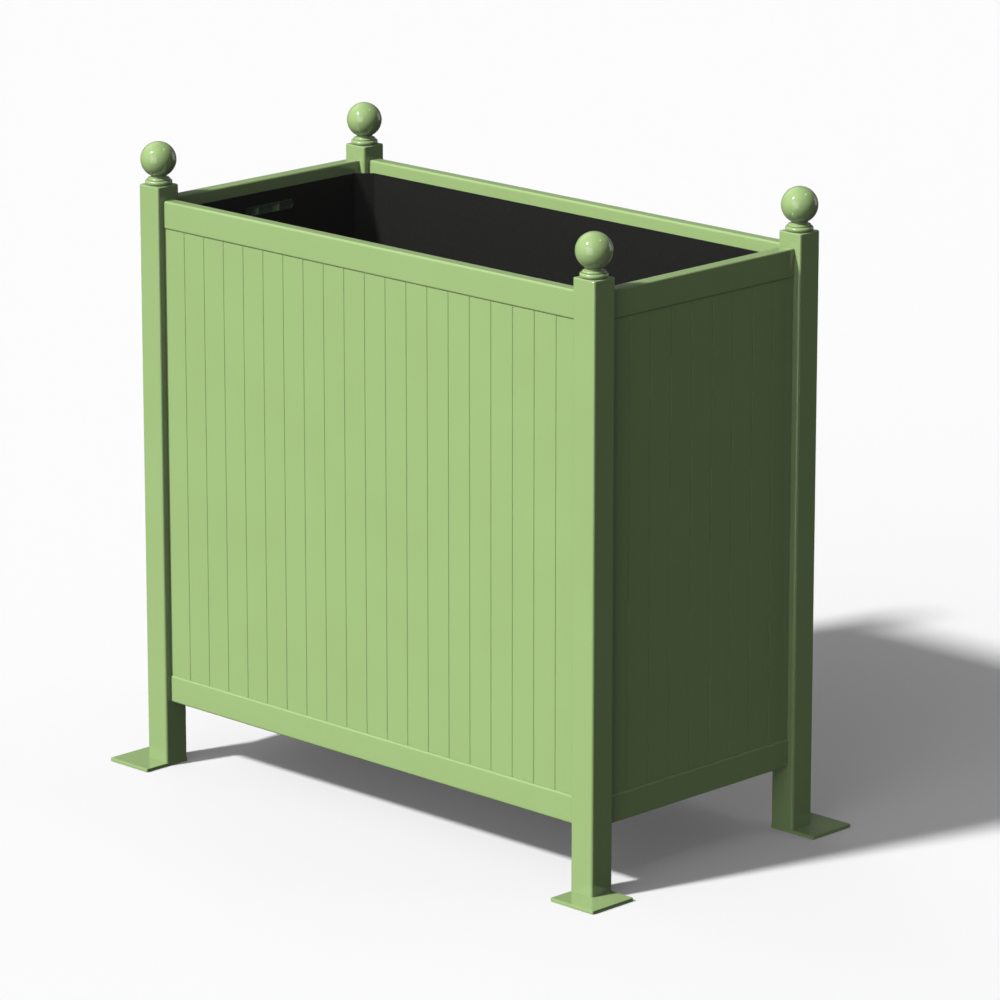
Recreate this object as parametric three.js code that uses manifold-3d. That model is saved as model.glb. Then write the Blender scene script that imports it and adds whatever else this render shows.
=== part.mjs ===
// Versailles planter: four square posts on foot plates, ball finials, grooved board panels held
// between rails, and a black liner with chamfered corners that lifts out.
//
// Millimetres, +Z up. The origin is on the ground, midway between the four posts.
// +X runs along the long front, +Y runs from the front to the back.

import * as THREE from 'three';
import { mergeVertices } from 'three/addons/utils/BufferGeometryUtils.js';
import Module from 'manifold-3d';

const wasm = await Module();
wasm.setup();

// ---------------------------------------------------------------- driving dimensions

// Posts: square hollow section, closed by a welded cap.
const POST_SIZE = 50;
const POST_WALL = 3;
const POST_CORNER_RADIUS = 5;
const POST_TOP = 1055.75;
const CAP_THICKNESS = 5;
const CAP_EDGE_RADIUS = 2;
const CAP_SPIGOT_DEPTH = 6;
const CAP_SPIGOT_CLEARANCE = 0.5;

// Foot plates: flush with the two inner faces of the post, standing out past its outer faces.
const FOOT_PLATE_PROJECTION = 48;
const FOOT_PLATE_THICKNESS = 6.25;
const FOOT_PLATE_CORNER_RADIUS = 2.5;

// Rails: flat rectangular hollow section between the posts.
const RAIL_HEIGHT = 50;
const RAIL_THICKNESS = 25;
const RAIL_WALL = 2;
const RAIL_CORNER_RADIUS = 4;
const RAIL_RECESS = 12.5;
const TOP_RAIL_BOTTOM = 981;
const BOTTOM_RAIL_BOTTOM = 118.5;

// Boards: tongued and grooved profiles with a vee at each joint and flanges behind it.
const BOARD_PITCH = 50;
const BOARDS_ON_LONG_SIDE = 20;
const BOARDS_ON_SHORT_SIDE = 9;
const BOARD_SETBACK = 2;
const BOARD_FACE_THICKNESS = 2;
const BOARD_FLANGE_THICKNESS = 1.75;
const VEE_WIDTH = 3;
const VEE_DEPTH = 1.5;

// Ball finials, turned in one piece: stud, beaded collar, neck and ball.
const BALL_RADIUS = 31.5;
const BALL_CENTRE_HEIGHT = 44.25;
const BALL_FOOT_RADIUS = 15.25;
const NECK_RADIUS = 15.25;
const NECK_HEIGHT = 12.75;
const COLLAR_BASE_RADIUS = 21.25;
const COLLAR_RING_RADIUS = 23.75;
const COLLAR_RING_BEAD = 4.5;
const COLLAR_STEP_RADIUS = 20;
const COLLAR_STEP_BEAD = 2.75;
const COLLAR_STEP_HEIGHT = 9.5;
const STUD_RADIUS = 5;
const STUD_CLEARANCE = 0.4;
const STUD_TAIL = 1;

// Liner: open sheet box with chamfered corners, a hand-hold slot in each short end and drain holes.
const LINER_TOP = 1009;
const LINER_SIDE_CLEARANCE = 1;
const LINER_WALL = 2.5;
const LINER_FLOOR = 3;
const LINER_POST_CLEARANCE = 2.5;
const SLOT_LENGTH = 117;
const SLOT_HEIGHT = 17.5;
const SLOT_CORNER_RADIUS = 4;
const SLOT_BELOW_RIM = 22.5;
const DRAIN_RADIUS = 6;
const DRAIN_END_INSET = 77;
const DRAIN_SIDE_INSET = 108;
const DRAIN_MIDDLE_OFFSET = 146;

// Ledges and bearers that carry the liner inside the bottom rails.
const LEDGE_WIDTH = 25;
const LEDGE_HEIGHT = 18;
const LEDGE_THICKNESS = 3;
const LEDGE_POST_GAP = 5;
const BEARER_WIDTH = 30;
const BEARER_HEIGHT = 20;
const BEARER_WALL = 2;
const BEARER_END_GAP = 1;
const BEARER_INSET = 146;

// Button-head screws of the ledges and bearers.
const SCREW_RADIUS = 2.5;
const SCREW_CLEARANCE = 0.4;
const SCREW_HEAD_RADIUS = 4.75;
const SCREW_HEAD_HEIGHT = 2.75;
const SCREW_TAIL = 5;
const LEDGE_SCREW_INSET = 78;
const LEDGE_SCREW_MIDDLE_OFFSET = 156;

// Facets.
const CORNER_STEPS = 2;
const ROUND_STEPS = 24;
const SMALL_ROUND_STEPS = 12;

// ---------------------------------------------------------------- derived places

const innerHalfX = (BOARDS_ON_LONG_SIDE * BOARD_PITCH) / 2;
const innerHalfY = (BOARDS_ON_SHORT_SIDE * BOARD_PITCH) / 2;
const postCentreX = innerHalfX + POST_SIZE / 2;
const postCentreY = innerHalfY + POST_SIZE / 2;
const outerHalfX = innerHalfX + POST_SIZE;
const outerHalfY = innerHalfY + POST_SIZE;
const railOuterX = outerHalfX - RAIL_RECESS;
const railOuterY = outerHalfY - RAIL_RECESS;
const railInnerX = railOuterX - RAIL_THICKNESS;
const railInnerY = railOuterY - RAIL_THICKNESS;
const bottomRailTop = BOTTOM_RAIL_BOTTOM + RAIL_HEIGHT;
const postTubeTop = POST_TOP - CAP_THICKNESS;
const linerHalfX = railInnerX - LINER_SIDE_CLEARANCE;
const linerHalfY = railInnerY - LINER_SIDE_CLEARANCE;
const linerBottom = bottomRailTop;
const bearerBottom = linerBottom - BEARER_HEIGHT;
const ledgeFloorBottom = bearerBottom - LEDGE_THICKNESS;
const ledgeScrewHeight = ledgeFloorBottom + LEDGE_THICKNESS + (LEDGE_HEIGHT - LEDGE_THICKNESS) / 2;

// ---------------------------------------------------------------- materials

const greenPaint = new THREE.MeshStandardMaterial({ color: 0xa3c57f, roughness: 0.28, metalness: 0 });
const linerBlack = new THREE.MeshStandardMaterial({ color: 0x1d1d1c, roughness: 0.6, metalness: 0 });
const zincSteel = new THREE.MeshStandardMaterial({ color: 0xb4b7ba, roughness: 0.35, metalness: 1 });

// ---------------------------------------------------------------- solids

function toSolid(geometry) {
  const bare = geometry.clone();
  bare.deleteAttribute('normal');
  bare.deleteAttribute('uv');
  const merged = mergeVertices(bare, 1e-4);
  const vertProperties = new Float32Array(merged.attributes.position.array);
  const triVerts = new Uint32Array(merged.index.array);
  return new wasm.Manifold(new wasm.Mesh({ numProp: 3, vertProperties, triVerts }));
}

function toGeometry(solid) {
  const mesh = solid.getMesh();
  const geometry = new THREE.BufferGeometry();
  geometry.setAttribute('position', new THREE.BufferAttribute(mesh.vertProperties, 3));
  geometry.setIndex(new THREE.BufferAttribute(mesh.triVerts, 1));
  geometry.computeVertexNormals();
  return geometry;
}

function cut(geometry, cutters) {
  let solid = toSolid(geometry);
  for (const cutter of cutters) {
    solid = solid.subtract(toSolid(cutter));
  }
  return toGeometry(solid);
}

// ---------------------------------------------------------------- outlines

function roundedRectangle(width, height, radius) {
  const x = width / 2 - radius;
  const y = height / 2 - radius;
  const shape = new THREE.Shape();
  shape.absarc(x, y, radius, 0, Math.PI / 2);
  shape.absarc(-x, y, radius, Math.PI / 2, Math.PI);
  shape.absarc(-x, -y, radius, Math.PI, 1.5 * Math.PI);
  shape.absarc(x, -y, radius, 1.5 * Math.PI, 2 * Math.PI);
  shape.closePath();
  return shape;
}

function hollowSection(width, height, wall, radius) {
  const shape = roundedRectangle(width, height, radius);
  const boreRadius = Math.max(radius - wall, 0.5);
  shape.holes.push(roundedRectangle(width - 2 * wall, height - 2 * wall, boreRadius));
  return shape;
}

function polygon(points) {
  return new THREE.Shape(points.map(([x, y]) => new THREE.Vector2(x, y)));
}

// The plan of a run of boards: a vee in front of each joint and a pair of flanges behind it.
// x runs along the boards from the middle of the run, y runs inwards from the front face.
function boardRun(count, depth) {
  const half = (count * BOARD_PITCH) / 2;
  const joints = Array.from({ length: count - 1 }, (_, i) => (i + 1) * BOARD_PITCH - half);
  const points = [[-half, 0]];
  for (const x of joints) {
    points.push([x - VEE_WIDTH / 2, 0], [x, VEE_DEPTH], [x + VEE_WIDTH / 2, 0]);
  }
  points.push([half, 0], [half, depth], [half - BOARD_FLANGE_THICKNESS, depth]);
  points.push([half - BOARD_FLANGE_THICKNESS, BOARD_FACE_THICKNESS]);
  for (const x of joints.reverse()) {
    points.push([x + BOARD_FLANGE_THICKNESS, BOARD_FACE_THICKNESS]);
    points.push([x + BOARD_FLANGE_THICKNESS, depth], [x - BOARD_FLANGE_THICKNESS, depth]);
    points.push([x - BOARD_FLANGE_THICKNESS, BOARD_FACE_THICKNESS]);
  }
  points.push([-half + BOARD_FLANGE_THICKNESS, BOARD_FACE_THICKNESS]);
  points.push([-half + BOARD_FLANGE_THICKNESS, depth], [-half, depth]);
  return polygon(points);
}

function arcPoints(x, y, radius, from, to, steps) {
  const points = [];
  for (let i = 0; i <= steps; i += 1) {
    const angle = from + ((to - from) * i) / steps;
    points.push(new THREE.Vector2(x + radius * Math.cos(angle), y + radius * Math.sin(angle)));
  }
  return points;
}

// ---------------------------------------------------------------- placed extrusions

const axisX = new THREE.Vector3(1, 0, 0);
const axisY = new THREE.Vector3(0, 1, 0);
const axisZ = new THREE.Vector3(0, 0, 1);

function extrude(shape, length) {
  const settings = { depth: length, bevelEnabled: false, curveSegments: CORNER_STEPS };
  return new THREE.ExtrudeGeometry(shape, settings);
}

// The section's x becomes +Y and its y becomes +Z; the length runs along X, centred.
function extrudeAlongX(shape, length) {
  const geometry = extrude(shape, length).translate(0, 0, -length / 2);
  return geometry.applyMatrix4(new THREE.Matrix4().makeBasis(axisY, axisZ, axisX));
}

// The section's x becomes -X and its y becomes +Z; the length runs along Y, centred.
function extrudeAlongY(shape, length) {
  const geometry = extrude(shape, length).translate(0, 0, -length / 2);
  return geometry.applyMatrix4(new THREE.Matrix4().makeBasis(axisX.clone().negate(), axisZ, axisY));
}

function cylinderAlongY(radius, length, x, y, z) {
  return new THREE.CylinderGeometry(radius, radius, length, SMALL_ROUND_STEPS).translate(x, y, z);
}

function cylinderAlongZ(radius, length, x, y, z) {
  const geometry = new THREE.CylinderGeometry(radius, radius, length, SMALL_ROUND_STEPS);
  return geometry.rotateX(Math.PI / 2).translate(x, y, z);
}

// ---------------------------------------------------------------- posts, caps and foot plates

function postGeometry() {
  const section = hollowSection(POST_SIZE, POST_SIZE, POST_WALL, POST_CORNER_RADIUS);
  const length = postTubeTop - FOOT_PLATE_THICKNESS;
  return extrude(section, length).translate(0, 0, FOOT_PLATE_THICKNESS);
}

// The cap's plate carries rounded top edges; its spigot drops inside the tube.
function postCapGeometry() {
  const core = roundedRectangle(
    POST_SIZE - 2 * CAP_EDGE_RADIUS,
    POST_SIZE - 2 * CAP_EDGE_RADIUS,
    Math.max(POST_CORNER_RADIUS - CAP_EDGE_RADIUS, 0.5),
  );
  const plateDepth = 2 * CAP_THICKNESS;
  const rounded = new THREE.ExtrudeGeometry(core, {
    depth: plateDepth - 2 * CAP_EDGE_RADIUS,
    bevelEnabled: true,
    bevelThickness: CAP_EDGE_RADIUS,
    bevelSize: CAP_EDGE_RADIUS,
    bevelSegments: CORNER_STEPS,
    curveSegments: CORNER_STEPS,
  });
  rounded.translate(0, 0, POST_TOP - plateDepth + CAP_EDGE_RADIUS);
  const lowerHalf = new THREE.BoxGeometry(2 * POST_SIZE, 2 * POST_SIZE, 4 * CAP_THICKNESS);
  lowerHalf.translate(0, 0, postTubeTop - 2 * CAP_THICKNESS);
  const spigotSize = POST_SIZE - 2 * POST_WALL - 2 * CAP_SPIGOT_CLEARANCE;
  const spigotOutline = roundedRectangle(spigotSize, spigotSize, 1);
  const spigot = extrude(spigotOutline, CAP_SPIGOT_DEPTH + CAP_THICKNESS / 2);
  spigot.translate(0, 0, postTubeTop - CAP_SPIGOT_DEPTH);
  const boreLength = 4 * (CAP_THICKNESS + CAP_SPIGOT_DEPTH);
  const bore = cylinderAlongZ(STUD_RADIUS + STUD_CLEARANCE, boreLength, 0, 0, postTubeTop);
  const plate = toSolid(rounded).subtract(toSolid(lowerHalf));
  return toGeometry(plate.add(toSolid(spigot)).subtract(toSolid(bore)));
}

function footPlateGeometry() {
  const size = POST_SIZE + FOOT_PLATE_PROJECTION;
  return extrude(roundedRectangle(size, size, FOOT_PLATE_CORNER_RADIUS), FOOT_PLATE_THICKNESS);
}

// ---------------------------------------------------------------- ball finials

const studLength = CAP_THICKNESS + CAP_SPIGOT_DEPTH + STUD_TAIL;

// Profile from the foot of the stud up over the collar, the neck and the ball.
function finialGeometry() {
  const ring = COLLAR_RING_RADIUS - COLLAR_RING_BEAD;
  const step = COLLAR_STEP_RADIUS - COLLAR_STEP_BEAD;
  const ringFoot = -Math.acos((COLLAR_BASE_RADIUS - ring) / COLLAR_RING_BEAD);
  const ballFoot = -Math.acos(BALL_FOOT_RADIUS / BALL_RADIUS);
  const profile = [
    new THREE.Vector2(0, -studLength),
    new THREE.Vector2(STUD_RADIUS - 1, -studLength),
    new THREE.Vector2(STUD_RADIUS, 1 - studLength),
    new THREE.Vector2(STUD_RADIUS, 0),
    new THREE.Vector2(COLLAR_BASE_RADIUS, 0),
    ...arcPoints(ring, COLLAR_RING_BEAD, COLLAR_RING_BEAD, ringFoot, Math.PI / 3, 5),
    ...arcPoints(step, COLLAR_STEP_HEIGHT, COLLAR_STEP_BEAD, -Math.PI / 9, Math.PI / 2, 3),
    new THREE.Vector2(NECK_RADIUS, NECK_HEIGHT),
    ...arcPoints(0, BALL_CENTRE_HEIGHT, BALL_RADIUS, ballFoot, Math.PI / 2, 12),
  ];
  profile[profile.length - 1].x = 0;
  return new THREE.LatheGeometry(profile, ROUND_STEPS).rotateX(Math.PI / 2);
}

// ---------------------------------------------------------------- rails and board panels

function railSection() {
  return hollowSection(RAIL_THICKNESS, RAIL_HEIGHT, RAIL_WALL, RAIL_CORNER_RADIUS);
}

function mirroredPair(inner, outer) {
  return [-outer, -inner, inner, outer];
}

const ledgeScrews = mirroredPair(LEDGE_SCREW_MIDDLE_OFFSET, railInnerX - LEDGE_SCREW_INSET);

// Clearance holes for the ledge screws, through the inner wall of a long bottom rail only.
function ledgeScrewHoles(side, innermost, depth) {
  const length = depth + 2;
  const y = side * (innermost + depth / 2);
  return ledgeScrews.map((x) => (
    cylinderAlongY(SCREW_RADIUS + SCREW_CLEARANCE, length, x, y, ledgeScrewHeight)
  ));
}

function longRailGeometry(side, bottom, drilled) {
  const rail = extrudeAlongX(railSection(), 2 * innerHalfX);
  rail.translate(0, side * (railOuterY - RAIL_THICKNESS / 2), bottom + RAIL_HEIGHT / 2);
  return drilled ? cut(rail, ledgeScrewHoles(side, railInnerY, RAIL_WALL)) : rail;
}

function shortRailGeometry(side, bottom) {
  const rail = extrudeAlongY(railSection(), 2 * innerHalfY);
  return rail.translate(side * (railOuterX - RAIL_THICKNESS / 2), 0, bottom + RAIL_HEIGHT / 2);
}

// One panel, standing on the bottom rail and closed by the top rail, its face at y = 0.
function boardPanelGeometry(count) {
  const depth = RAIL_THICKNESS - BOARD_SETBACK;
  const height = TOP_RAIL_BOTTOM - bottomRailTop;
  return extrude(boardRun(count, depth), height).translate(0, 0, bottomRailTop);
}

// ---------------------------------------------------------------- ledges and bearers

const bearerPositions = [BEARER_INSET - railInnerX, 0, railInnerX - BEARER_INSET];
const bearerHalfLength = railInnerY - LEDGE_THICKNESS - BEARER_END_GAP;
const bearerScrewY = railInnerY - (LEDGE_THICKNESS + LEDGE_WIDTH) / 2;

function bearerScrewHole(x, side) {
  const length = 4 * (LEDGE_THICKNESS + BEARER_WALL);
  return cylinderAlongZ(SCREW_RADIUS + SCREW_CLEARANCE, length, x, side * bearerScrewY, bearerBottom);
}

// An angle whose upright leg lies on the rail and whose flat leg carries the bearers.
function ledgeGeometry(side) {
  const section = polygon([
    [0, 0],
    [LEDGE_WIDTH, 0],
    [LEDGE_WIDTH, LEDGE_THICKNESS],
    [LEDGE_THICKNESS, LEDGE_THICKNESS],
    [LEDGE_THICKNESS, LEDGE_HEIGHT],
    [0, LEDGE_HEIGHT],
  ]);
  const length = 2 * (innerHalfX - LEDGE_POST_GAP);
  const ledge = extrudeAlongX(section, length).translate(0, -railInnerY, ledgeFloorBottom);
  if (side > 0) {
    ledge.rotateZ(Math.PI);
  }
  const uprightHoles = ledgeScrewHoles(side, railInnerY - LEDGE_THICKNESS, LEDGE_THICKNESS);
  const flatHoles = bearerPositions.map((x) => bearerScrewHole(x, side));
  return cut(ledge, [...uprightHoles, ...flatHoles]);
}

function bearerGeometry(x) {
  const section = hollowSection(BEARER_WIDTH, BEARER_HEIGHT, BEARER_WALL, BEARER_WALL);
  const bearer = extrudeAlongY(section, 2 * bearerHalfLength);
  bearer.translate(x, 0, bearerBottom + BEARER_HEIGHT / 2);
  return cut(bearer, [bearerScrewHole(x, -1), bearerScrewHole(x, 1)]);
}

// A button-head screw pointing along +Z, with the underside of its head at z = 0.
function screwGeometry(grip) {
  const domeSteps = 3;
  const profile = [new THREE.Vector2(0, -SCREW_HEAD_HEIGHT)];
  for (let i = 1; i <= domeSteps; i += 1) {
    const angle = (i / domeSteps) * (Math.PI / 2);
    const radius = SCREW_HEAD_RADIUS * Math.sin(angle);
    profile.push(new THREE.Vector2(radius, -SCREW_HEAD_HEIGHT * Math.cos(angle)));
  }
  profile.push(new THREE.Vector2(SCREW_RADIUS, 0));
  profile.push(new THREE.Vector2(SCREW_RADIUS, grip + SCREW_TAIL - 1));
  profile.push(new THREE.Vector2(SCREW_RADIUS - 1, grip + SCREW_TAIL));
  profile.push(new THREE.Vector2(0, grip + SCREW_TAIL));
  return new THREE.LatheGeometry(profile, SMALL_ROUND_STEPS).rotateX(Math.PI / 2);
}

// ---------------------------------------------------------------- liner

// The chamfer passes the inner corner of the post at the given clearance.
const passingLine = innerHalfX + innerHalfY - LINER_POST_CLEARANCE * Math.SQRT2;
const linerChamfer = linerHalfX + linerHalfY - passingLine;
const linerInnerChamfer = linerChamfer - LINER_WALL * (2 - Math.SQRT2);
const linerInnerX = linerHalfX - LINER_WALL;
const linerInnerY = linerHalfY - LINER_WALL;
const linerEndHalfY = linerInnerY - linerInnerChamfer;
const linerWallBottom = linerBottom + LINER_FLOOR;

function linerFloorGeometry() {
  const floor = polygon([
    [linerHalfX, -linerHalfY + linerChamfer],
    [linerHalfX, linerHalfY - linerChamfer],
    [linerHalfX - linerChamfer, linerHalfY],
    [-linerHalfX + linerChamfer, linerHalfY],
    [-linerHalfX, linerHalfY - linerChamfer],
    [-linerHalfX, -linerHalfY + linerChamfer],
    [-linerHalfX + linerChamfer, -linerHalfY],
    [linerHalfX - linerChamfer, -linerHalfY],
  ]);
  const columns = mirroredPair(DRAIN_MIDDLE_OFFSET, linerHalfX - DRAIN_END_INSET);
  const row = linerHalfY - DRAIN_SIDE_INSET;
  const holes = columns.flatMap((x) => [-row, row].map((y) => (
    cylinderAlongZ(DRAIN_RADIUS, 4 * LINER_FLOOR, x, y, linerBottom)
  )));
  return cut(extrude(floor, LINER_FLOOR).translate(0, 0, linerBottom), holes);
}

// A long wall folded at both ends to make the two chamfered corners next to it.
function linerSideGeometry(side) {
  const sheet = polygon([
    [-linerHalfX, -linerEndHalfY],
    [-linerHalfX, -linerHalfY + linerChamfer],
    [-linerHalfX + linerChamfer, -linerHalfY],
    [linerHalfX - linerChamfer, -linerHalfY],
    [linerHalfX, -linerHalfY + linerChamfer],
    [linerHalfX, -linerEndHalfY],
    [linerInnerX, -linerEndHalfY],
    [linerInnerX - linerInnerChamfer, -linerInnerY],
    [-linerInnerX + linerInnerChamfer, -linerInnerY],
    [-linerInnerX, -linerEndHalfY],
  ]);
  const wall = extrude(sheet, LINER_TOP - linerWallBottom).translate(0, 0, linerWallBottom);
  return side < 0 ? wall : wall.rotateZ(Math.PI);
}

// A short wall with its hand-hold slot.
function linerEndGeometry(side) {
  const height = LINER_TOP - linerWallBottom;
  const outline = roundedRectangle(SLOT_LENGTH, SLOT_HEIGHT, SLOT_CORNER_RADIUS);
  const slotHeight = LINER_TOP - SLOT_BELOW_RIM - SLOT_HEIGHT / 2;
  const wall = new THREE.BoxGeometry(LINER_WALL, 2 * linerEndHalfY, height);
  wall.translate(side * (linerHalfX - LINER_WALL / 2), 0, linerWallBottom + height / 2);
  const slot = extrudeAlongX(outline, 4 * LINER_WALL);
  slot.translate(side * (linerHalfX - LINER_WALL / 2), 0, slotHeight);
  return cut(wall, [slot]);
}

// ---------------------------------------------------------------- assembly

const planter = new THREE.Group();

function place(name, geometry, material, x = 0, y = 0, z = 0, turn = 0) {
  const mesh = new THREE.Mesh(geometry, material);
  mesh.name = name;
  mesh.position.set(x, y, z);
  mesh.rotation.z = turn;
  planter.add(mesh);
  return mesh;
}

const corners = [
  ['front_left', -1, -1],
  ['front_right', 1, -1],
  ['back_left', -1, 1],
  ['back_right', 1, 1],
];

for (const [corner, sideX, sideY] of corners) {
  const x = sideX * postCentreX;
  const y = sideY * postCentreY;
  const plateX = x + (sideX * FOOT_PLATE_PROJECTION) / 2;
  const plateY = y + (sideY * FOOT_PLATE_PROJECTION) / 2;
  place(`post_${corner}`, postGeometry(), greenPaint, x, y);
  place(`post_cap_${corner}`, postCapGeometry(), greenPaint, x, y);
  place(`finial_${corner}`, finialGeometry(), greenPaint, x, y, POST_TOP);
  place(`foot_plate_${corner}`, footPlateGeometry(), greenPaint, plateX, plateY);
}

for (const [end, side] of [['front', -1], ['back', 1]]) {
  place(`top_rail_${end}`, longRailGeometry(side, TOP_RAIL_BOTTOM, false), greenPaint);
  place(`bottom_rail_${end}`, longRailGeometry(side, BOTTOM_RAIL_BOTTOM, true), greenPaint);
  const panelTurn = side < 0 ? 0 : Math.PI;
  const panelY = side * (railOuterY - BOARD_SETBACK);
  const panel = boardPanelGeometry(BOARDS_ON_LONG_SIDE);
  place(`board_panel_${end}`, panel, greenPaint, 0, panelY, 0, panelTurn);
  place(`liner_ledge_${end}`, ledgeGeometry(side), greenPaint);
}

for (const [end, side] of [['left', -1], ['right', 1]]) {
  place(`top_rail_${end}`, shortRailGeometry(side, TOP_RAIL_BOTTOM), greenPaint);
  place(`bottom_rail_${end}`, shortRailGeometry(side, BOTTOM_RAIL_BOTTOM), greenPaint);
  const panelTurn = (side * Math.PI) / 2;
  const panelX = side * (railOuterX - BOARD_SETBACK);
  const panel = boardPanelGeometry(BOARDS_ON_SHORT_SIDE);
  place(`board_panel_${end}`, panel, greenPaint, panelX, 0, 0, panelTurn);
}

const bearerNames = ['left', 'middle', 'right'];
bearerPositions.forEach((x, i) => {
  place(`liner_bearer_${bearerNames[i]}`, bearerGeometry(x), greenPaint);
});

// The ledge screws point outwards into the rails; the bearer screws point up into the bearers.
for (const [end, side] of [['front', -1], ['back', 1]]) {
  ledgeScrews.forEach((x, i) => {
    const screw = screwGeometry(LEDGE_THICKNESS + RAIL_WALL).rotateX((-side * Math.PI) / 2);
    const seat = side * (railInnerY - LEDGE_THICKNESS);
    place(`ledge_screw_${end}_${i + 1}`, screw, zincSteel, x, seat, ledgeScrewHeight);
  });
  bearerPositions.forEach((x, i) => {
    const screw = screwGeometry(LEDGE_THICKNESS + BEARER_WALL);
    const name = `bearer_screw_${end}_${bearerNames[i]}`;
    place(name, screw, zincSteel, x, side * bearerScrewY, ledgeFloorBottom);
  });
}

place('liner_floor', linerFloorGeometry(), linerBlack);
place('liner_wall_front', linerSideGeometry(-1), linerBlack);
place('liner_wall_back', linerSideGeometry(1), linerBlack);
place('liner_end_left', linerEndGeometry(-1), linerBlack);
place('liner_end_right', linerEndGeometry(1), linerBlack);

export default planter;
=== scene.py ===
import math

import bmesh
import bpy
from mathutils import Matrix, Vector


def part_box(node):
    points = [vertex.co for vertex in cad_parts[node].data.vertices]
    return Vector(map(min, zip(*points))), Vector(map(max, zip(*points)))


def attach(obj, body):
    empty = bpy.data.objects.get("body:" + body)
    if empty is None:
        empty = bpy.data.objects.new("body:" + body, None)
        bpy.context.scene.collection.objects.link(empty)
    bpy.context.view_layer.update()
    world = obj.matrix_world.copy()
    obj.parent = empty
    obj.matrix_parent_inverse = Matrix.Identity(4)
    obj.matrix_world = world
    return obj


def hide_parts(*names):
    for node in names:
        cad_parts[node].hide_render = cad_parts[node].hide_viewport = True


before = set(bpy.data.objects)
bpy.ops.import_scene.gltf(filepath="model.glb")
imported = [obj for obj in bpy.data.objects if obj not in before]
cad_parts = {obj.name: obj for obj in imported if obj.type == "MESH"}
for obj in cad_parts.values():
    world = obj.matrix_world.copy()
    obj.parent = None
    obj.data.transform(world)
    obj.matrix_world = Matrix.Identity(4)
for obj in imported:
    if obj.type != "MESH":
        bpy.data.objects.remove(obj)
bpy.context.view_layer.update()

MM = 0.001

# ---------------------------------------------------------------- camera, solved from the photograph

camera = bpy.data.objects.new("camera", bpy.data.cameras.new("camera"))
bpy.context.collection.objects.link(camera)
camera.data.sensor_width = 36.0
camera.data.lens = 203.98
camera.data.clip_start = 0.5
camera.data.clip_end = 60.0
camera.location = (6.705456, -6.743043, 3.082708)
target = Vector((-0.256630, 0.326460, 0.424817))
camera.rotation_mode = "QUATERNION"
camera.rotation_quaternion = (target - camera.location).to_track_quat("-Z", "Y")
bpy.context.scene.camera = camera

# ---------------------------------------------------------------- materials


def node_material(name):
    made = bpy.data.materials.new(name)
    made.use_nodes = True
    tree = made.node_tree
    return made, tree, tree.nodes["Principled BSDF"]


def add(tree, kind, inputs=None, **settings):
    node = tree.nodes.new(kind)
    for key, value in settings.items():
        setattr(node, key, value)
    for key, value in (inputs or {}).items():
        if isinstance(value, bpy.types.NodeSocket):
            tree.links.new(value, node.inputs[key])
        else:
            node.inputs[key].default_value = value
    return node


def ramp(tree, source, stops):
    node = add(tree, "ShaderNodeValToRGB", {"Fac": source})
    elements = node.color_ramp.elements
    while len(elements) < len(stops):
        elements.new(0.5)
    for element, (position, colour) in zip(elements, stops):
        element.position = position
        element.color = (*colour, 1.0)
    return node.outputs["Color"]


GREEN = (0.349, 0.503, 0.200)
GLOSS_ROUGHNESS = 0.05


def painted(name, peel):
    """Powder coat: an even green with faint clouds, a fine orange peel, a glossy skin and a faint
    painted bluish glow that stands in for fill light on the shaded faces.
    """
    made, tree, shader = node_material(name)
    place = add(tree, "ShaderNodeTexCoord").outputs["Object"]
    clouds = add(tree, "ShaderNodeTexNoise", {"Vector": place, "Scale": 9.0, "Detail": 3.0})
    dark = tuple(c * 0.985 for c in GREEN)
    light = tuple(c * 1.015 for c in GREEN)
    tone = ramp(tree, clouds.outputs["Fac"], [(0.3, dark), (0.7, light)])
    tree.links.new(tone, shader.inputs["Base Color"])
    grain = add(tree, "ShaderNodeTexNoise", {"Vector": place, "Scale": 900.0, "Detail": 2.0})
    bump = add(tree, "ShaderNodeBump", {
        "Height": grain.outputs["Fac"], "Strength": peel, "Distance": 0.2 * MM,
    })
    tree.links.new(bump.outputs["Normal"], shader.inputs["Normal"])
    patches = add(tree, "ShaderNodeTexNoise", {"Vector": place, "Scale": 25.0, "Detail": 2.0})
    spread = add(tree, "ShaderNodeMapRange", {
        "Value": patches.outputs["Fac"], "From Min": 0.3, "From Max": 0.7,
        "To Min": GLOSS_ROUGHNESS * 0.92, "To Max": GLOSS_ROUGHNESS * 1.08,
    })
    tree.links.new(spread.outputs["Result"], shader.inputs["Roughness"])
    shader.inputs["Metallic"].default_value = 0.0
    shader.inputs["Specular IOR Level"].default_value = 1.0
    # Painted light: a faint bluish glow in the paint stands in for the fill light that reaches the
    # shaded faces.
    shader.inputs["Emission Color"].default_value = (0.75, 0.80, 1.0, 1.0)
    shader.inputs["Emission Strength"].default_value = 0.006
    return made


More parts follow.
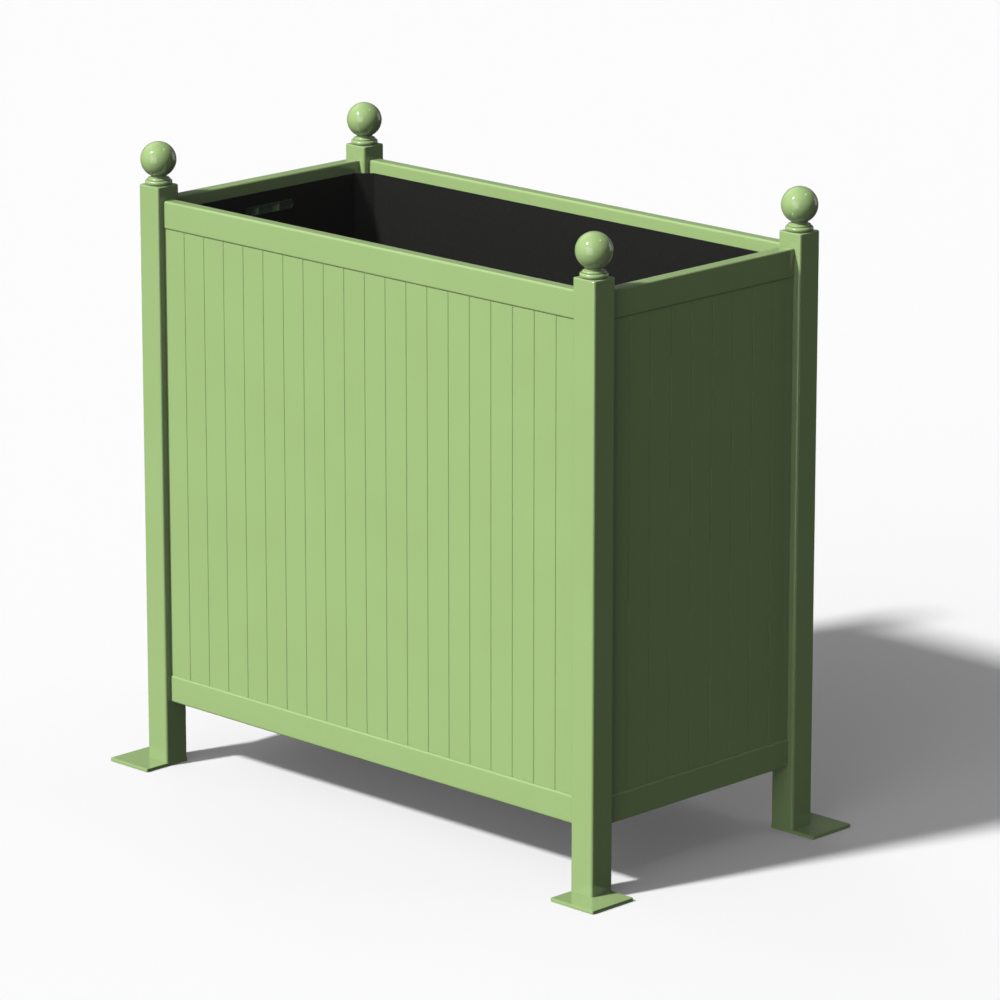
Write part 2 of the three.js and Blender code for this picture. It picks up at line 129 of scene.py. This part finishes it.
def speckled_black():
    """Satin black sheet with a fine leather-like texture, sparse lighter specks and a faint painted
    glow that lifts its shaded walls.
    """
    made, tree, shader = node_material("liner_satin_black")
    place = add(tree, "ShaderNodeTexCoord").outputs["Object"]
    grain = add(tree, "ShaderNodeTexNoise", {"Vector": place, "Scale": 650.0, "Detail": 3.0})
    specks = add(tree, "ShaderNodeTexVoronoi", {"Vector": place, "Scale": 330.0})
    tone = ramp(tree, specks.outputs["Distance"], [
        (0.0, (0.25, 0.25, 0.235)), (0.12, (0.0102, 0.0102, 0.0092)),
    ])
    tree.links.new(tone, shader.inputs["Base Color"])
    bump = add(tree, "ShaderNodeBump", {
        "Height": grain.outputs["Fac"], "Strength": 0.35, "Distance": 0.4 * MM,
    })
    tree.links.new(bump.outputs["Normal"], shader.inputs["Normal"])
    spread = add(tree, "ShaderNodeMapRange", {
        "Value": grain.outputs["Fac"], "To Min": 0.48, "To Max": 0.62,
    })
    tree.links.new(spread.outputs["Result"], shader.inputs["Roughness"])
    shader.inputs["Specular IOR Level"].default_value = 0.25
    # Painted light: a faint white glow lifts the liner's shaded walls.
    shader.inputs["Emission Color"].default_value = (1.0, 1.0, 1.0, 1.0)
    shader.inputs["Emission Strength"].default_value = 0.0032
    return made


def zinc_plate():
    """Bright plating with a fine mottle, for the screws."""
    made, tree, shader = node_material("zinc_plate")
    place = add(tree, "ShaderNodeTexCoord").outputs["Object"]
    clouds = add(tree, "ShaderNodeTexNoise", {"Vector": place, "Scale": 400.0, "Detail": 3.0})
    tone = ramp(tree, clouds.outputs["Fac"], [
        (0.3, (0.50, 0.51, 0.53)), (0.7, (0.68, 0.68, 0.66)),
    ])
    tree.links.new(tone, shader.inputs["Base Color"])
    shader.inputs["Metallic"].default_value = 1.0
    shader.inputs["Roughness"].default_value = 0.32
    return made


green = painted("green_powder_coat", 0.04)
green_gloss = painted("green_gloss", 0.03)
black = speckled_black()
zinc = zinc_plate()

# ---------------------------------------------------------------- mesh helpers


def dress(name, mesh, material, node, smooth):
    """Puts a mesh on the frame in place of a CAD node, shaded smooth up to an angle."""
    piece = bpy.data.objects.new(name, mesh)
    bpy.context.collection.objects.link(piece)
    mesh.materials.append(material)
    mesh.shade_smooth()
    mesh.set_sharp_from_angle(angle=math.radians(smooth))
    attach(piece, "frame")
    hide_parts(node)
    return piece


def dress_flat(name, mesh, node):
    """The same for painted steel with flat faces, which weighted normals keep even."""
    piece = dress(name, mesh, green, node, smooth=40)
    piece.modifiers.new("weighted", "WEIGHTED_NORMAL").keep_sharp = True


def written(name, work, place=Matrix.Identity(4)):
    """Keeps a bmesh as a mesh, placed by a matrix."""
    work.transform(place)
    mesh = bpy.data.meshes.new(name)
    work.to_mesh(mesh)
    work.free()
    return mesh


SHARP_FOLD = 0.5
BEVEL_SEGMENTS = 3
TURN_STEPS = 96
CORNER_STEPS = 6


def outline_mesh(name, points, depth, place, round_edges=0.0, holes=()):
    """A plan outline (x, y) lifted by depth along +Z, its edges rounded, then placed by a matrix."""
    work = bmesh.new()
    rings = [[work.verts.new((x, y, 0)) for x, y in ring] for ring in (points, *holes)]
    edges = []
    for loop in rings:
        edges += [work.edges.new((loop[i], loop[(i + 1) % len(loop)])) for i in range(len(loop))]
    if holes:
        bmesh.ops.triangle_fill(work, edges=edges, use_beauty=True)
    else:
        work.faces.new(rings[0])
    raised = bmesh.ops.extrude_face_region(work, geom=work.faces[:])
    moved = [g for g in raised["geom"] if isinstance(g, bmesh.types.BMVert)]
    bmesh.ops.translate(work, verts=moved, vec=(0, 0, depth))
    bmesh.ops.recalc_face_normals(work, faces=work.faces[:])
    if round_edges:
        folds = [edge for edge in work.edges if len(edge.link_faces) == 2]
        sharp = [edge for edge in folds if edge.calc_face_angle() > SHARP_FOLD]
        bmesh.ops.bevel(
            work, geom=sharp, offset=round_edges, segments=BEVEL_SEGMENTS, profile=0.5,
            affect="EDGES", clamp_overlap=True,
        )
    return written(name, work, place)


def lathe_mesh(name, profile, place):
    """A profile of (radius, height) turned about Z, with one vertex where it meets the axis."""
    steps = TURN_STEPS
    work = bmesh.new()
    rings = []
    for radius, height in profile:
        if radius < 1e-9:
            rings.append([work.verts.new((0, 0, height))])
        else:
            rings.append([
                work.verts.new((
                    radius * math.cos(2 * math.pi * i / steps),
                    radius * math.sin(2 * math.pi * i / steps),
                    height,
                ))
                for i in range(steps)
            ])
    for low, high in zip(rings, rings[1:]):
        for i in range(steps):
            j = (i + 1) % steps
            corners = (low[i % len(low)], low[j % len(low)], high[j % len(high)], high[i % len(high)])
            unique = list(dict.fromkeys(corners))
            if len(unique) > 2:
                work.faces.new(unique)
    bmesh.ops.recalc_face_normals(work, faces=work.faces[:])
    return written(name, work, place)


def rounded_rectangle(width, height, radius):
    points = []
    for cx, cy, start in ((1, 1, 0), (-1, 1, 90), (-1, -1, 180), (1, -1, 270)):
        for i in range(CORNER_STEPS + 1):
            angle = math.radians(start + 90 * i / CORNER_STEPS)
            points.append((
                cx * (width / 2 - radius) + radius * math.cos(angle),
                cy * (height / 2 - radius) + radius * math.sin(angle),
            ))
    return points


def arc(x, y, radius, start, end, steps):
    angles = [math.radians(start + (end - start) * i / steps) for i in range(steps + 1)]
    return [(x + radius * math.cos(a), y + radius * math.sin(a)) for a in angles]


def place_at(x, y, z, turn=0.0):
    return Matrix.Translation((x, y, z)) @ Matrix.Rotation(math.radians(turn), 4, "Z")


# ---------------------------------------------------------------- posts, caps, finials and feet

POST_ROUNDING = 5 * MM
POST_WALL = 3 * MM
CAP_ROLL = 2 * MM
FOOT_ROUNDING = 2.5 * MM
FOOT_EDGE = 0.8 * MM

# The finial's forms, in millimetres: each bead has its middle's radius and height and its own radius.
COLLAR_FOOT = 21.25
COLLAR = (19.5, 4.5, 4.5)
STEP = (17.15, 9.6, 2.75)
NECK = [(15.4, 12.4), (14.5, 12.7), (14.1, 13.4), (14.0, 14.6)]
BALL_RADIUS, BALL_HEIGHT = 31.5, 44.25


def cap_mesh(name, centre, size, low, top):
    """The post's section with its upper edge rolled over."""
    levels = [(0.0, low), (0.0, top - CAP_ROLL)]
    for degrees in (18, 36, 54, 72, 90):
        angle = math.radians(degrees)
        levels.append((CAP_ROLL * (1 - math.cos(angle)), top - CAP_ROLL + CAP_ROLL * math.sin(angle)))
    work = bmesh.new()
    loops = []
    for inset, height in levels:
        width = size - 2 * inset
        points = rounded_rectangle(width, width, POST_ROUNDING - inset)
        loops.append([work.verts.new((centre.x + x, centre.y + y, height)) for x, y in points])
    for lower, upper in zip(loops, loops[1:]):
        for i in range(len(lower)):
            j = (i + 1) % len(lower)
            work.faces.new((lower[i], lower[j], upper[j], upper[i]))
    work.faces.new(loops[-1])
    work.faces.new(loops[0][::-1])
    bmesh.ops.recalc_face_normals(work, faces=work.faces[:])
    return written(name, work)


def finial_profile():
    """Collar, step, neck and ball, up from the cap to the axis at the ball's crown."""
    profile = [(0, 0), (COLLAR_FOOT, 0)]
    profile += arc(*COLLAR, -67, 60, 14)
    profile += arc(*STEP, -40, 100, 14)
    profile += NECK
    profile += arc(0, BALL_HEIGHT, BALL_RADIUS, -63.0, 90, 60)
    profile[-1] = (0, BALL_HEIGHT + BALL_RADIUS)
    return [(radius * MM, height * MM) for radius, height in profile]


for corner in ("front_left", "front_right", "back_left", "back_right"):
    low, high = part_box(f"post_{corner}")
    centre = (low + high) / 2
    size = high.x - low.x
    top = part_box(f"post_cap_{corner}")[1].z
    bore = size - 2 * POST_WALL
    tube = outline_mesh(
        f"post_tube_{corner}", rounded_rectangle(size, size, POST_ROUNDING), high.z - low.z,
        place_at(centre.x, centre.y, low.z),
        holes=[rounded_rectangle(bore, bore, POST_ROUNDING - POST_WALL)],
    )
    dress_flat(f"post_tube_{corner}", tube, f"post_{corner}")
    cap = cap_mesh(f"cap_{corner}", centre, size, high.z, top)
    dress_flat(f"cap_{corner}", cap, f"post_cap_{corner}")

    name = f"ball_finial_{corner}"
    turned = lathe_mesh(name, finial_profile(), place_at(centre.x, centre.y, top))
    dress(name, turned, green_gloss, f"finial_{corner}", smooth=50)

    low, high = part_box(f"foot_plate_{corner}")
    centre = (low + high) / 2
    plate = outline_mesh(
        f"foot_{corner}", rounded_rectangle(high.x - low.x, high.y - low.y, FOOT_ROUNDING),
        high.z - low.z, place_at(centre.x, centre.y, low.z), round_edges=FOOT_EDGE,
    )
    dress_flat(f"foot_{corner}", plate, f"foot_plate_{corner}")

# ---------------------------------------------------------------- rails

RAIL_ROUNDING = 4 * MM

for height in ("top", "bottom"):
    for end in ("front", "back", "left", "right"):
        node = f"{height}_rail_{end}"
        low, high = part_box(node)
        centre = (low + high) / 2
        size = high - low
        along_x = size.x > size.y
        length = size.x if along_x else size.y
        thick = size.y if along_x else size.x
        section = rounded_rectangle(thick, size.z, RAIL_ROUNDING)
        # The section's y becomes +Z and the length runs along X or Y.
        if along_x:
            axes = ((0, 1, 0), (0, 0, 1), (1, 0, 0))
        else:
            axes = ((-1, 0, 0), (0, 0, 1), (0, 1, 0))
        basis = Matrix(axes).transposed().to_4x4()
        place = Matrix.Translation(centre) @ basis @ Matrix.Translation((0, 0, -length / 2))
        rail = outline_mesh(f"rail_{height}_{end}", section, length, place)
        dress_flat(f"rail_{height}_{end}", rail, node)

# ---------------------------------------------------------------- boards

# Half widths are measured from a joint, depths from the boards' face.
PITCH = 50 * MM
VEE_HALF, VEE_DEPTH = 0.85 * MM, 0.7 * MM
SLIT_HALF, SLIT_DEPTH = 0.22 * MM, 1.9 * MM
SKIN = 2.6 * MM
FLANGE, FLANGE_DEPTH = 1.75 * MM, 23 * MM

for end, turn in (("front", 0), ("right", 90), ("back", 180), ("left", 270)):
    low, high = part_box(f"board_panel_{end}")
    count = round(max(high.x - low.x, high.y - low.y) / PITCH)
    half = count * PITCH / 2
    joints = [(i + 1) * PITCH - half for i in range(count - 1)]
    points = [(-half, 0)]
    for x in joints:
        points += [
            (x - VEE_HALF, 0), (x - SLIT_HALF, VEE_DEPTH), (x - SLIT_HALF, SLIT_DEPTH),
            (x + SLIT_HALF, SLIT_DEPTH), (x + SLIT_HALF, VEE_DEPTH), (x + VEE_HALF, 0),
        ]
    points += [(half, 0), (half, FLANGE_DEPTH), (half - FLANGE, FLANGE_DEPTH), (half - FLANGE, SKIN)]
    for x in reversed(joints):
        points += [
            (x + FLANGE, SKIN), (x + FLANGE, FLANGE_DEPTH),
            (x - FLANGE, FLANGE_DEPTH), (x - FLANGE, SKIN),
        ]
    points += [(-half + FLANGE, SKIN), (-half + FLANGE, FLANGE_DEPTH), (-half, FLANGE_DEPTH)]
    face = {
        "front": (0, low.y), "back": (0, high.y), "left": (low.x, 0), "right": (high.x, 0),
    }[end]
    panel = outline_mesh(f"boards_{end}", points, high.z - low.z, place_at(*face, low.z, turn))
    dress(f"boards_{end}", panel, green, f"board_panel_{end}", smooth=20)

# ---------------------------------------------------------------- liner, what carries it, and screws

for name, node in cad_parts.items():
    if "screw" in name:
        material = zinc
    elif name.startswith(("liner_ledge", "liner_bearer")):
        material = green
    elif name.startswith(("liner_floor", "liner_wall", "liner_end")):
        material = black
    else:
        continue
    node.data.materials.clear()
    node.data.materials.append(material)

# ---------------------------------------------------------------- studio

work = bmesh.new()
bmesh.ops.create_grid(work, x_segments=1, y_segments=1, size=30)
floor_mesh = written("studio_floor", work)
floor = bpy.data.objects.new("studio_floor", floor_mesh)
bpy.context.collection.objects.link(floor)
floor_material, _, shader = node_material("studio_floor")
shader.inputs["Base Color"].default_value = (0.805, 0.805, 0.805, 1.0)
shader.inputs["Emission Color"].default_value = (1.0, 1.0, 1.0, 1.0)
shader.inputs["Emission Strength"].default_value = 0.074
shader.inputs["Roughness"].default_value = 0.9
shader.inputs["Specular IOR Level"].default_value = 0.0
floor_mesh.materials.append(floor_material)

# The paint doesn't mirror the floor: its reflections are those of the studio's panels.
floor.visible_glossy = False


def towards(azimuth, elevation):
    """Unit vector to a lamp: azimuth 0 is in front of the planter (-Y), 90 is to its right (+X)."""
    a, e = math.radians(azimuth), math.radians(elevation)
    return Vector((math.sin(a) * math.cos(e), -math.cos(a) * math.cos(e), math.sin(e)))


def sun_lamp(name, angle, travel):
    """A distant lamp with an angular size in degrees, its light travelling along a vector."""
    lamp = bpy.data.objects.new(name, bpy.data.lights.new(name, "SUN"))
    bpy.context.collection.objects.link(lamp)
    lamp.data.energy = 3.94
    lamp.data.angle = math.radians(angle)
    lamp.rotation_mode = "QUATERNION"
    lamp.rotation_quaternion = Vector(travel).to_track_quat("-Z", "Y")
    return lamp


# The key lights the paint, and its reflection on the gloss is that of a broader lamp.
sun_lamp("key", 5.0, (0.207, 0.698, -0.686)).visible_glossy = False
sun_lamp("glint", 8.0, (0.207, 0.688, -0.700)).visible_diffuse = False

# The studio around the planter, all at infinity and with angles in degrees.
# A softbox: azimuth, elevation, half width, half height, edge, strength.
SOFTBOXES = [
    (15, 5, 20, 20, 4, 1.15),
    (165, 5, 13, 12, 3, 0.82),
    (258, 40, 22, 18, 8, 0.68),
    (128, 61, 5, 3, 2, 4.0),
]
# A broad glow: azimuth, elevation, power, strength.
GLOWS = [
    (0, 45, 6, 0.46),
    (0, 15, 6, 0.56),
    (90, 25, 6, 0.06),
    (180, 20, 6, 0.19),
    (225, -10, 6, 0.12),
    (0, -90, 3, 0.10),
]

world = bpy.data.worlds.new("studio")
bpy.context.scene.world = world
world.use_nodes = True
tree = world.node_tree
sky = add(tree, "ShaderNodeTexCoord").outputs["Generated"]
direction = add(tree, "ShaderNodeVectorMath", {0: sky}, operation="NORMALIZE").outputs["Vector"]


def along(axis):
    dot = add(tree, "ShaderNodeVectorMath", {0: direction, 1: axis}, operation="DOT_PRODUCT")
    return dot.outputs["Value"]


def maths(operation, *values):
    inputs = dict(enumerate(values))
    return add(tree, "ShaderNodeMath", inputs, operation=operation).outputs[0]


def window(axis, half, edge):
    """1 where the direction is within half degrees of the plane across the axis, with a soft edge."""
    inner, outer = math.sin(math.radians(half - edge)), math.sin(math.radians(half + edge))
    return add(tree, "ShaderNodeMapRange", {
        "Value": maths("ABSOLUTE", along(axis)),
        "From Min": inner, "From Max": outer, "To Min": 1.0, "To Max": 0.0,
    }, interpolation_type="SMOOTHSTEP").outputs["Result"]


total = 0.0
for azimuth, elevation, width, height, edge, strength in SOFTBOXES:
    centre = towards(azimuth, elevation)
    side = towards(azimuth + 90, 0)
    ahead = maths("GREATER_THAN", along(centre), 0.0)
    across = window(side, width, edge)
    shape = maths("MULTIPLY", across, window(centre.cross(side), height, edge))
    total = maths("MULTIPLY_ADD", maths("MULTIPLY", shape, ahead), strength, total)
for azimuth, elevation, power, strength in GLOWS:
    front = maths("MAXIMUM", along(towards(azimuth, elevation)), 0.0)
    total = maths("MULTIPLY_ADD", maths("POWER", front, float(power)), strength, total)
tree.nodes["Background"].inputs["Color"].default_value = (1.0, 1.0, 1.0, 1.0)
tree.links.new(total, tree.nodes["Background"].inputs["Strength"])

bpy.context.scene.view_settings.view_transform = "Standard"

# The photograph's light is direct: one painted face doesn't tint the next.
bpy.context.scene.cycles.diffuse_bounces = 0
